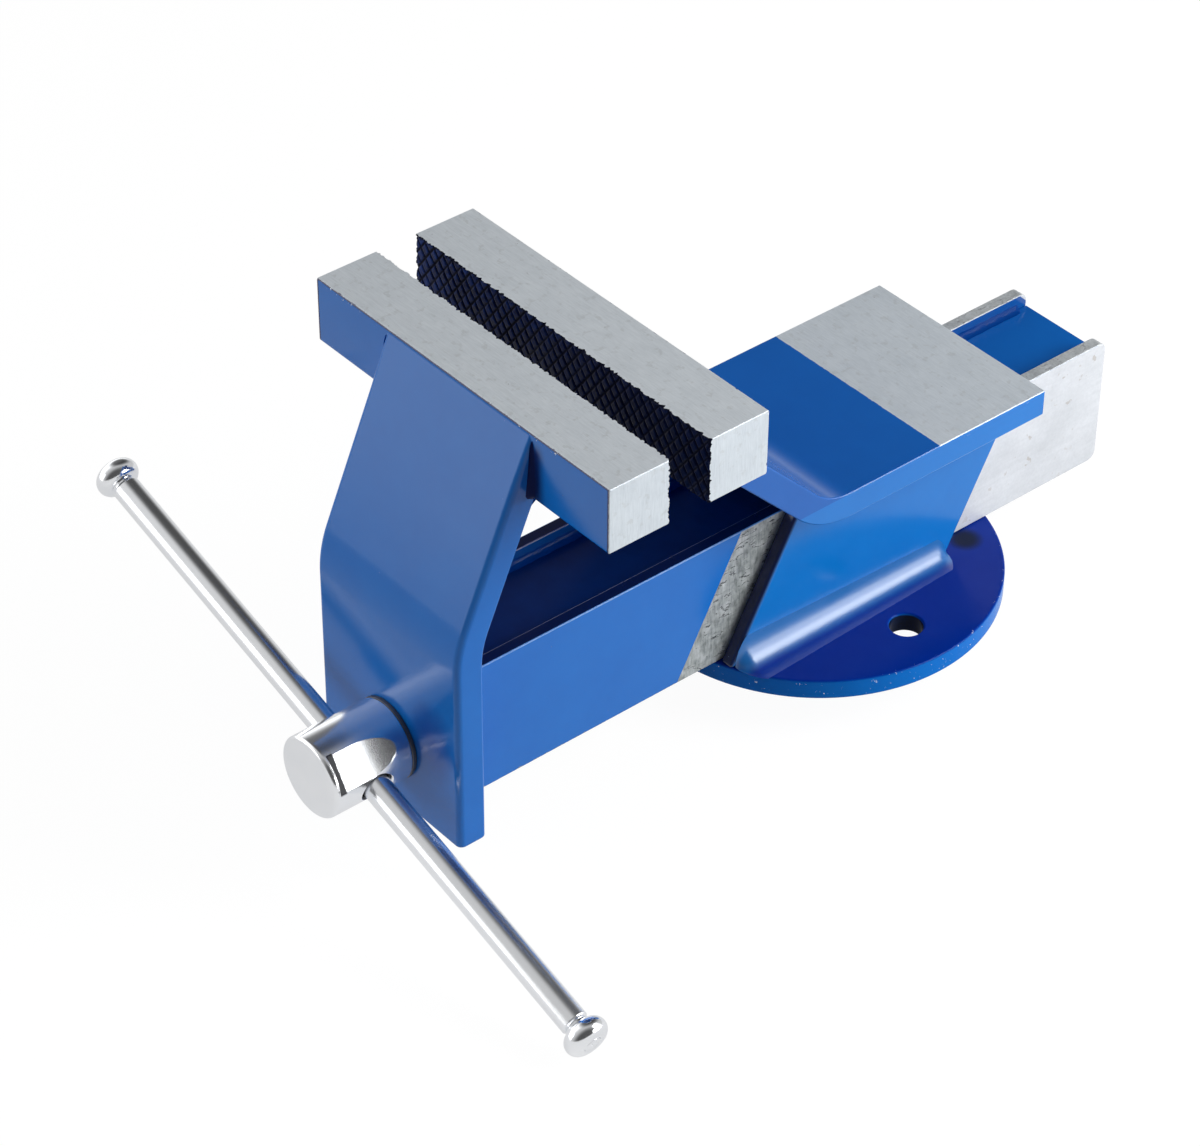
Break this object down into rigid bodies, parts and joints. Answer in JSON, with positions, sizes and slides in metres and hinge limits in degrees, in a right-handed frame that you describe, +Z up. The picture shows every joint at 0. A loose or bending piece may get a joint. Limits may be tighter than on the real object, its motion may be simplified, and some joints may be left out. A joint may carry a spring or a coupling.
{
  "type": "bench vise",
  "caption": "Fabricated steel bench vise: square bar jaws on a screw-driven slide, bent plate with a flat anvil, round bolt-down base and a sliding T-bar handle.",
  "frame": {"origin": "centre of the round base's underside, on the bench face", "axes": "+X across the jaws, +Y along the slide away from the screw head, +Z up"},
  "size_m": [0.2642, 0.3476, 0.1762],
  "materials": {
    "blue_paint": "gloss enamel",
    "ground_steel": "ground, bare",
    "dark_steel": "oiled, dark",
    "chrome_plate": "bright plated",
    "cast_nut": "machined cast iron"
  },
  "bodies": {
    "body": {"base_plate": "blue_paint", "base_welds": "blue_paint", "body_wall_left": "blue_paint", "body_wall_right": "blue_paint", "top_plate": "blue_paint", "guide_strips": "dark_steel", "fixed_jaw": "ground_steel", "fixed_jaw_weld": "blue_paint", "nut_block": "cast_nut", "nut_bolts": "dark_steel"},
    "sliding_jaw": {"front_plate": "blue_paint", "moving_jaw": "ground_steel", "moving_jaw_weld": "blue_paint", "slide_flat_left": "ground_steel", "slide_flat_right": "ground_steel", "slide_web": "blue_paint", "web_welds": "blue_paint", "slide_welds": "blue_paint"},
    "screw": {"screw": "dark_steel", "screw_head": "chrome_plate", "thrust_washer": "dark_steel", "retaining_collar": "dark_steel", "collar_pin": "dark_steel"},
    "handle": {"handle_bar": "chrome_plate", "handle_knob_left": "chrome_plate", "handle_knob_right": "chrome_plate"}
  },
  "joints": [
    {"name": "jaw_slide", "type": "slide", "parent": "body", "child": "sliding_jaw", "axis": [0, -1, 0], "range_m": [-0.0159, 0.109]},
    {"name": "screw_turn", "type": "hinge", "parent": "sliding_jaw", "child": "screw", "pos_m": [0, -0.208, 0.028], "axis": [0, -1, 0], "range_deg": [-1144, 7847]},
    {"name": "handle_slide", "type": "slide", "parent": "screw", "child": "handle", "axis": [0.9583, 0, -0.2857], "range_m": [-0.107, 0.117]}
  ],
  "couplings": [
    {"joint": "jaw_slide", "follows": "screw_turn", "m_per_rad": 0.00079577}
  ]
}
